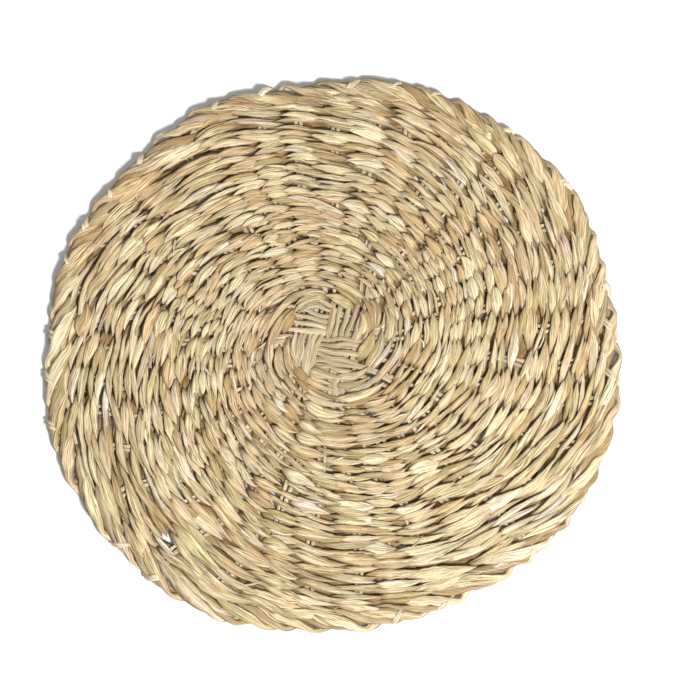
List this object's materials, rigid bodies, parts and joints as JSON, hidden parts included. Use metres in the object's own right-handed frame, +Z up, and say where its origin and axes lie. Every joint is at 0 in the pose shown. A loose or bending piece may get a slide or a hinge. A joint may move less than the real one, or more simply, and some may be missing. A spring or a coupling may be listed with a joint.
{
  "type": "seagrass placemat",
  "caption": "Round woven seagrass placemat, flat, with a plaited cross at its centre, wefts carried round its spokes, and a rolled scalloped edge.",
  "frame": {"origin": "centre of the extent, on the underside that lies on the table", "axes": "+Z up through the mat, from the table to the face; +Y towards the far side of the mat as laid, +X to its right"},
  "size_m": [0.38, 0.3746, 0.0076],
  "materials": {
    "seagrass": "dry twisted leaf, matt with a faint sheen along the fibre"
  },
  "bodies": {
    "root": {"mat": "seagrass"}
  },
  "joints": []
}
